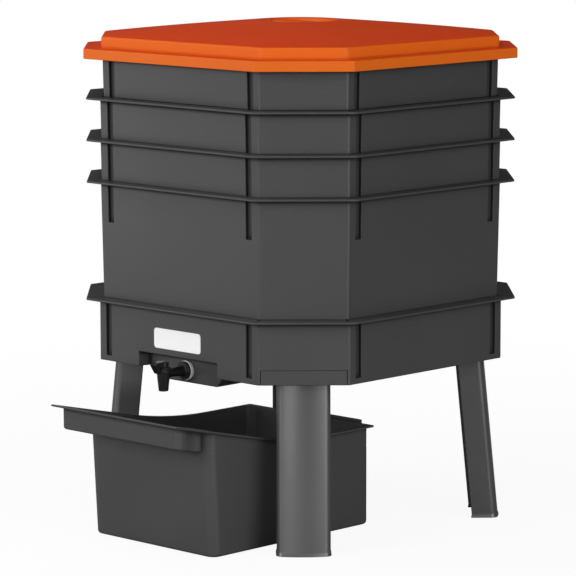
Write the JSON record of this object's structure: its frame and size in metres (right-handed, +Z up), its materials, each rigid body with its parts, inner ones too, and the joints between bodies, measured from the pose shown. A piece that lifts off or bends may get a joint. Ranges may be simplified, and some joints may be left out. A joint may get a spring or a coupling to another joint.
{
  "type": "wormery",
  "caption": "Stacking tray wormery with an eight-sided lid, nesting trays, a sump with a drain tap, splayed legs and a collecting tub that stands under the tap.",
  "frame": {"origin": "middle of the whole footprint, on the floor", "axes": "+Z up; the tap and the tub's chute look along -Y; +X to the right of someone facing away from the tap"},
  "size_m": [0.4534, 0.5448, 0.6138],
  "materials": {
    "lid_shell": "satin orange",
    "tray_shell": "satin charcoal",
    "sump_shell": "satin charcoal",
    "leg_shell": "satin charcoal",
    "socket_shell": "satin charcoal",
    "tub_shell": "satin charcoal",
    "label_film": "bare white film",
    "tap_plastic": "glossy black",
    "washer_white": "plain white",
    "washer_black": "matt black",
    "seal_rubber": "matt black"
  },
  "bodies": {
    "stand": {"sump_base": "sump_shell", "label": "label_film", "tap_body": "tap_plastic", "tap_washer_outer": "washer_white", "tap_washer_inner": "washer_black", "tap_nut": "tap_plastic", "leg_front": "leg_shell", "leg_right": "leg_shell", "leg_back": "leg_shell", "leg_left": "leg_shell", "leg_socket_front": "socket_shell", "leg_socket_right": "socket_shell", "leg_socket_back": "socket_shell", "leg_socket_left": "socket_shell"},
    "bottom_tray": {"tray_bottom": "tray_shell"},
    "lower_tray": {"tray_lower": "tray_shell"},
    "upper_tray": {"tray_upper": "tray_shell"},
    "top_tray": {"tray_top": "tray_shell"},
    "cover": {"lid": "lid_shell"},
    "valve": {"tap_lever": "tap_plastic", "tap_core": "tap_plastic", "core_seal": "seal_rubber"},
    "tub": {"collecting_tub": "tub_shell"}
  },
  "joints": [
    {"name": "bottom_tray_lift", "type": "slide", "parent": "stand", "child": "bottom_tray", "axis": [0, 0, 1], "range_m": [0, 0.04]},
    {"name": "lower_tray_lift", "type": "slide", "parent": "bottom_tray", "child": "lower_tray", "axis": [0, 0, 1], "range_m": [0, 0.1]},
    {"name": "upper_tray_lift", "type": "slide", "parent": "lower_tray", "child": "upper_tray", "axis": [0, 0, 1], "range_m": [0, 0.1]},
    {"name": "top_tray_lift", "type": "slide", "parent": "upper_tray", "child": "top_tray", "axis": [0, 0, 1], "range_m": [0, 0.1]},
    {"name": "lid_lift", "type": "slide", "parent": "top_tray", "child": "cover", "axis": [0, 0, 1], "range_m": [0, 0.06]},
    {"name": "tap_turn", "type": "hinge", "parent": "stand", "child": "valve", "pos_m": [0, -0.18795, 0.2131], "axis": [0, 0, -1], "range_deg": [0, 90]},
    {"name": "tub_slide", "type": "slide", "parent": "stand", "child": "tub", "axis": [0, -1, 0], "range_m": [0, 0.3]}
  ]
}
